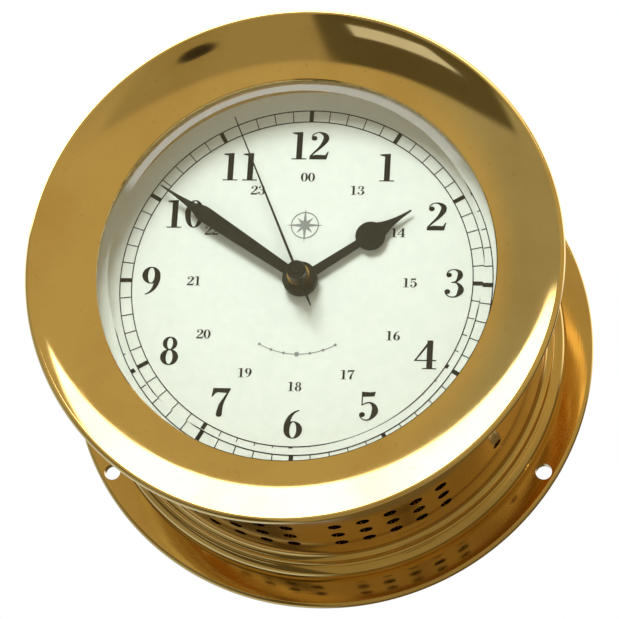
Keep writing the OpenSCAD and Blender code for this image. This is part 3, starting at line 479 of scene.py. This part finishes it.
LAMP_AIM = (0, -0.05, 0)
KEY_SPOT = (-0.14, -0.62, 0.45)
KEY_SIZE = (0.3, 0.26)
KEY_WATTS = 6.0
KEY_COLOUR = (0.97, 1.0, 0.97)
FILL_SPOT = (0.9, -1.2, 0.1)
FILL_SIZE = (1.0, 1.0)
FILL_WATTS = 1.6
FILL_COLOUR = (1.0, 0.86, 0.62)

CAMERA_AZ = 9.20
CAMERA_EL = -18.91
CAMERA_ROLL = 3.62
CAMERA_DISTANCE = 0.8672
CAMERA_RIGHT = 0.00207
CAMERA_UP = -0.00694
LENS_MM = 200.4659
SENSOR_MM = 36.0
TARGET_Y = -0.0583


def place_camera():
    """Looks up at the clock from below its centre line, a little from its right."""
    az, el, roll = (math.radians(a) for a in (CAMERA_AZ, CAMERA_EL, CAMERA_ROLL))
    back = Vector((math.sin(az) * math.cos(el), -math.cos(az) * math.cos(el), math.sin(el)))
    right = (-back).cross(Vector((0, 0, 1))).normalized()
    up = right.cross(-back)
    turned_right = right * math.cos(roll) + up * math.sin(roll)
    turned_up = up * math.cos(roll) - right * math.sin(roll)
    spot = Vector((0, TARGET_Y, 0)) + back * CAMERA_DISTANCE
    spot += turned_right * CAMERA_RIGHT + turned_up * CAMERA_UP
    data = bpy.data.cameras.new("camera")
    data.sensor_width = SENSOR_MM
    data.lens = LENS_MM
    data.clip_start = 0.01
    camera = bpy.data.objects.new("camera", data)
    axes = Matrix((turned_right, turned_up, back)).transposed().to_4x4()
    camera.matrix_world = Matrix.Translation(spot) @ axes
    bpy.context.scene.collection.objects.link(camera)
    bpy.context.scene.camera = camera


def lamp(name, spot, size, watts, colour):
    """A soft rectangular lamp aimed at the dial, which mirrors and glass don't show."""
    data = bpy.data.lights.new(name, "AREA")
    data.shape = "RECTANGLE"
    data.size, data.size_y = size
    data.energy = watts
    data.color = colour
    light = bpy.data.objects.new(name, data)
    light.location = spot
    light.rotation_euler = (Vector(spot) - Vector(LAMP_AIM)).to_track_quat("Z", "Y").to_euler()
    light.visible_camera = False
    light.visible_glossy = False
    light.visible_transmission = False
    bpy.context.scene.collection.objects.link(light)


def room_side(tree, direction, normal, offset, soft):
    """1 where the direction lies beyond a plane, fading to 0 over soft."""
    unit = Vector(normal).normalized()
    dot = add(tree, "ShaderNodeVectorMath", operation="DOT_PRODUCT")
    dot.inputs[1].default_value = unit
    tree.links.new(direction, dot.inputs[0])
    node = tree.nodes.new("ShaderNodeMapRange")
    node.interpolation_type = "SMOOTHSTEP"
    node.inputs["From Min"].default_value = offset - soft
    node.inputs["From Max"].default_value = offset + soft
    tree.links.new(dot.outputs["Value"], node.inputs["Value"])
    return node.outputs[0]


def patch(tree, direction, planes):
    """1 inside all of the planes."""
    result = None
    for normal, offset, soft in planes:
        side = room_side(tree, direction, normal, offset, soft)
        if result is None:
            result = side
        else:
            both = add(tree, "ShaderNodeMath", operation="MULTIPLY")
            tree.links.new(result, both.inputs[0])
            tree.links.new(side, both.inputs[1])
            result = both.outputs[0]
    return result


# Colours of the room that the brass mirrors
WALL = (0.50, 0.42, 0.23)
LOWER = (0.34, 0.30, 0.19)
LEFT = (0.36, 0.35, 0.26)
BEHIND = (0.15, 0.115, 0.05)
BEHIND_LEFT = (0.62, 0.74, 0.92)
BEHIND_TOP = (1.5, 1.5, 1.5)
DOORWAY = (0.10, 0.088, 0.05)
WINDOW = (0.62, 0.68, 0.78)
TRIPOD = (0.03, 0.026, 0.02)
TABLE = (0.33, 0.285, 0.165)
PANEL_SEEN = (4.0, 4.0, 3.9)
PANEL_CAST = (0.6, 0.6, 0.58)
BACKDROP = (1.0, 1.0, 1.0)

# Where they lie as directions: a patch is inside its planes, each (normal, offset, softness)
LOWER_PLANE = ((0, 0, -1), 0.15, 0.3)
LEFT_PLANE = ((-1, 0, 0), 0.42, 0.15)
BEHIND_PLANE = ((0, 1, 0), 0.05, 0.12)
BEHIND_LEFT_PLANES = (BEHIND_PLANE, ((-1, 0, 0), 0.1, 0.12))
BEHIND_TOP_PLANES = (BEHIND_PLANE, ((0, 0, 1), 0.22, 0.12))
TABLE_PLANES = (((1, -0.19, 0), 0, 0.03), ((-1, -0.42, 0), 0, 0.06), ((0, 0.04, -1), 0, 0.03))
DOORWAY_PLANES = (((-1, 0.195, 0), 0, 0.01), ((1, -1.03, 0), 0, 0.03), ((0, 0.03, -1), 0, 0.02))
WINDOW_PLANES = (
    ((-0.185, 0.374, -0.909), 0, 0.006),
    ((0.202, -0.478, 0.855), 0, 0.006),
    ((0.642, -0.6, 0.477), 0, 0.006),
    ((-1, 0.31, 0), 0, 0.006),
)
TRIPOD_SPOT = ((0.166, -0.937, -0.308), 0.9982, 0.0006)
PANEL_PLANES = (
    ((0.104, 0.96, 0.261), -0.4585, 0.012),
    ((-0.813, -0.581, -0.043), 0, 0.02),
    ((0, 0, 1), 0.42, 0.03),
)


def light_room():
    """A room to reflect, laid down patch over patch; the camera itself sees a white backdrop."""
    world = bpy.data.worlds.new("studio")
    bpy.context.scene.world = world
    world.use_nodes = True
    tree = world.node_tree
    tree.nodes.clear()
    direction = add(tree, "ShaderNodeTexCoord").outputs["Generated"]
    path = add(tree, "ShaderNodeLightPath")
    room = blend(tree, room_side(tree, direction, *LOWER_PLANE), WALL, LOWER)
    overhead = blend(tree, path.outputs["Is Glossy Ray"], PANEL_CAST, PANEL_SEEN)
    for colour, planes in (
        (LEFT, [LEFT_PLANE]),
        (BEHIND, [BEHIND_PLANE]),
        (BEHIND_LEFT, BEHIND_LEFT_PLANES),
        (BEHIND_TOP, BEHIND_TOP_PLANES),
        (TABLE, TABLE_PLANES),
        (DOORWAY, DOORWAY_PLANES),
        (WINDOW, WINDOW_PLANES),
        (TRIPOD, [TRIPOD_SPOT]),
        (overhead, PANEL_PLANES),
    ):
        room = blend(tree, patch(tree, direction, planes), room, colour)
    seen = blend(tree, path.outputs["Is Camera Ray"], room, BACKDROP)
    background = add(tree, "ShaderNodeBackground")
    tree.links.new(seen, background.inputs[0])
    output = add(tree, "ShaderNodeOutputWorld")
    tree.links.new(background.outputs[0], output.inputs[0])


FLOOR_Z = -0.45
FLOOR_SIZE = 6.0


def lay_floor():
    bpy.ops.mesh.primitive_plane_add(size=FLOOR_SIZE, location=(0, 0, FLOOR_Z))
    floor = bpy.context.object
    floor.name = "floor"
    floor.visible_glossy = False
    paper = plain("floor_paper", (0.86, 0.86, 0.85), (0.84, 0.84, 0.83), 0.7, grain=60.0, depth=0.0002)
    floor.data.materials.append(paper)


dress_frame()
turned_case()
turned_bezel()
place_camera()
light_room()
lay_floor()
lamp("key", KEY_SPOT, KEY_SIZE, KEY_WATTS, KEY_COLOUR)
lamp("fill", FILL_SPOT, FILL_SIZE, FILL_WATTS, FILL_COLOUR)
bpy.context.scene.view_settings.view_transform = "Standard"
